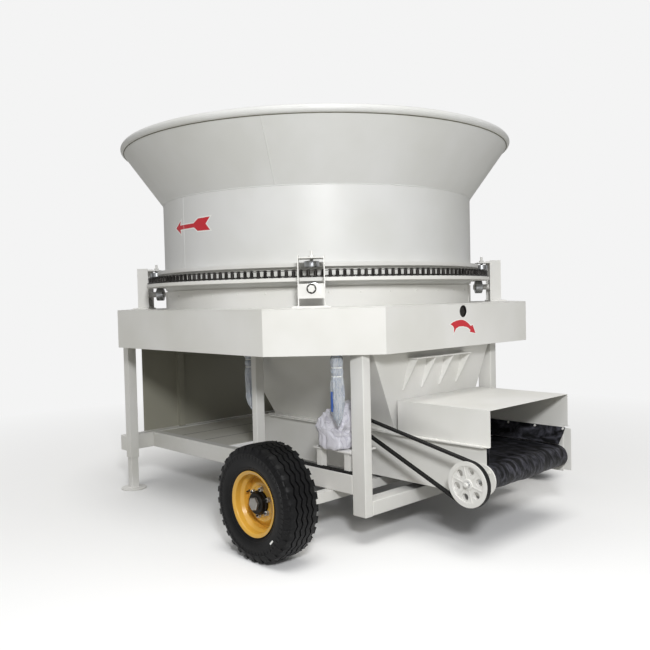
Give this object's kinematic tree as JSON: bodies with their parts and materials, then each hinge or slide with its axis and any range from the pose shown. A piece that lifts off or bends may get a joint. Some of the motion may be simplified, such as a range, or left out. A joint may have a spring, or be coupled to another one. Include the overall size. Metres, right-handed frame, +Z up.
{
  "type": "tub crusher",
  "caption": "Round turning tub with a flared mouth over a hammer mill, on an octagonal deck with legs, trailer wheels, a hopper and a belt conveyor.",
  "frame": {"origin": "middle of the machine's footprint, on the ground that wheels and feet stand on", "axes": "+X to the conveyor's discharge end, +Y to the left side away from the conveyor drive, +Z up"},
  "size_m": [3.8728, 3.34, 2.985],
  "materials": {
    "painted_sheet": "off-white gloss paint on sheet steel",
    "worn_paint": "off-white paint, duller on the inner sheets",
    "rim_pipe_paint": "off-white paint on the rolled pipe",
    "dark_steel": "dark oiled steel",
    "bright_steel": "turned steel",
    "tyre_rubber": "black tyre rubber",
    "belt_rubber": "black rough belt rubber",
    "wheel_paint": "yellow orange paint on the wheel",
    "bag_film": "white film bag over the motor",
    "clear_film": "clear film round a bundle"
  },
  "bodies": {
    "frame": {"axle": "painted_sheet", "bay_floor": "worn_paint", "bracket_front_left": "painted_sheet", "bracket_front_right": "painted_sheet", "bracket_rear_left": "painted_sheet", "bracket_rear_right": "painted_sheet", "conveyor_belt": "belt_rubber", "conveyor_frame": "painted_sheet", "conveyor_motor": "bag_film", "deck_panels": "painted_sheet", "deck_plate": "painted_sheet", "discharge_hood": "painted_sheet", "end_beam_front": "painted_sheet", "end_beam_rear": "painted_sheet", "hopper": "painted_sheet", "leg_front_left": "painted_sheet", "leg_front_right": "painted_sheet", "leg_middle_left": "painted_sheet", "leg_middle_right": "painted_sheet", "leg_rear_left": "painted_sheet", "leg_rear_right": "painted_sheet", "mill_housing": "painted_sheet", "motor_base": "painted_sheet", "rail_left": "painted_sheet", "rail_right": "painted_sheet", "rear_wall": "painted_sheet", "tie_hook": "painted_sheet", "tub_floor": "worn_paint", "tub_skirt": "painted_sheet", "under_plate": "worn_paint", "v_belt": "belt_rubber", "wrapped_bundle_front": "clear_film", "wrapped_bundle_rear": "clear_film"},
    "tub": {"tub_wall": "painted_sheet", "tub_flare": "painted_sheet", "tub_rim": "rim_pipe_paint", "tub_ring": "painted_sheet", "drive_chain": "dark_steel"},
    "support_roller_front_right": {"support_roller_front_right": "bright_steel"},
    "guide_roller_front_right": {"guide_roller_front_right": "bright_steel"},
    "support_roller_front_left": {"support_roller_front_left": "bright_steel"},
    "guide_roller_front_left": {"guide_roller_front_left": "bright_steel"},
    "support_roller_rear_left": {"support_roller_rear_left": "bright_steel"},
    "guide_roller_rear_left": {"guide_roller_rear_left": "bright_steel"},
    "support_roller_rear_right": {"support_roller_rear_right": "bright_steel"},
    "guide_roller_rear_right": {"guide_roller_rear_right": "bright_steel"},
    "rotor": {"rotor": "dark_steel"},
    "conveyor_drum": {"head_drum": "bright_steel", "drive_pulley": "painted_sheet"},
    "wheel_right": {"wheel_right": "wheel_paint", "tyre_right": "tyre_rubber"},
    "wheel_left": {"wheel_left": "wheel_paint", "tyre_left": "tyre_rubber"},
    "jack_right": {"jack_right": "painted_sheet"},
    "jack_left": {"jack_left": "painted_sheet"}
  },
  "joints": [
    {"name": "tub_spin", "type": "hinge", "parent": "frame", "child": "tub", "pos_m": [-0.2663, 0, 2], "axis": [0, 0, 1], "continuous": true},
    {"name": "support_roller_front_right_spin", "type": "hinge", "parent": "frame", "child": "support_roller_front_right", "pos_m": [0.73779, -1.00409, 1.7547], "axis": [0.7071, -0.7071, 0], "continuous": true},
    {"name": "guide_roller_front_right_spin", "type": "hinge", "parent": "frame", "child": "guide_roller_front_right", "pos_m": [0.75957, -1.02587, 1.928], "axis": [0, 0, 1], "continuous": true},
    {"name": "support_roller_front_left_spin", "type": "hinge", "parent": "frame", "child": "support_roller_front_left", "pos_m": [0.73779, 1.00409, 1.7547], "axis": [0.7071, 0.7071, 0], "continuous": true},
    {"name": "guide_roller_front_left_spin", "type": "hinge", "parent": "frame", "child": "guide_roller_front_left", "pos_m": [0.75957, 1.02587, 1.928], "axis": [0, 0, 1], "continuous": true},
    {"name": "support_roller_rear_left_spin", "type": "hinge", "parent": "frame", "child": "support_roller_rear_left", "pos_m": [-1.27039, 1.00409, 1.7547], "axis": [-0.7071, 0.7071, 0], "continuous": true},
    {"name": "guide_roller_rear_left_spin", "type": "hinge", "parent": "frame", "child": "guide_roller_rear_left", "pos_m": [-1.29217, 1.02587, 1.928], "axis": [0, 0, 1], "continuous": true},
    {"name": "support_roller_rear_right_spin", "type": "hinge", "parent": "frame", "child": "support_roller_rear_right", "pos_m": [-1.27039, -1.00409, 1.7547], "axis": [-0.7071, -0.7071, 0], "continuous": true},
    {"name": "guide_roller_rear_right_spin", "type": "hinge", "parent": "frame", "child": "guide_roller_rear_right", "pos_m": [-1.29217, -1.02587, 1.928], "axis": [0, 0, 1], "continuous": true},
    {"name": "rotor_spin", "type": "hinge", "parent": "frame", "child": "rotor", "pos_m": [0.3337, 0, 1.568], "axis": [1, 0, 0], "continuous": true},
    {"name": "conveyor_drum_spin", "type": "hinge", "parent": "frame", "child": "conveyor_drum", "pos_m": [1.7837, 0, 0.482], "axis": [0, 1, 0], "continuous": true},
    {"name": "wheel_right_spin", "type": "hinge", "parent": "frame", "child": "wheel_right", "pos_m": [0.8137, -1.531, 0.38], "axis": [0, 1, 0], "continuous": true},
    {"name": "wheel_left_spin", "type": "hinge", "parent": "frame", "child": "wheel_left", "pos_m": [0.8137, 1.531, 0.38], "axis": [0, 1, 0], "continuous": true},
    {"name": "jack_right_slide", "type": "slide", "parent": "frame", "child": "jack_right", "axis": [0, 0, 1], "range_m": [-0.05, 0.2]},
    {"name": "jack_left_slide", "type": "slide", "parent": "frame", "child": "jack_left", "axis": [0, 0, 1], "range_m": [-0.05, 0.2]}
  ],
  "couplings": [
    {"joint": "support_roller_front_right_spin", "follows": "tub_spin", "ratio": -25.818},
    {"joint": "guide_roller_front_right_spin", "follows": "tub_spin", "ratio": -26.112},
    {"joint": "support_roller_front_left_spin", "follows": "tub_spin", "ratio": -25.818},
    {"joint": "guide_roller_front_left_spin", "follows": "tub_spin", "ratio": -26.112},
    {"joint": "support_roller_rear_left_spin", "follows": "tub_spin", "ratio": -25.818},
    {"joint": "guide_roller_rear_left_spin", "follows": "tub_spin", "ratio": -26.112},
    {"joint": "support_roller_rear_right_spin", "follows": "tub_spin", "ratio": -25.818},
    {"joint": "guide_roller_rear_right_spin", "follows": "tub_spin", "ratio": -26.112}
  ]
}
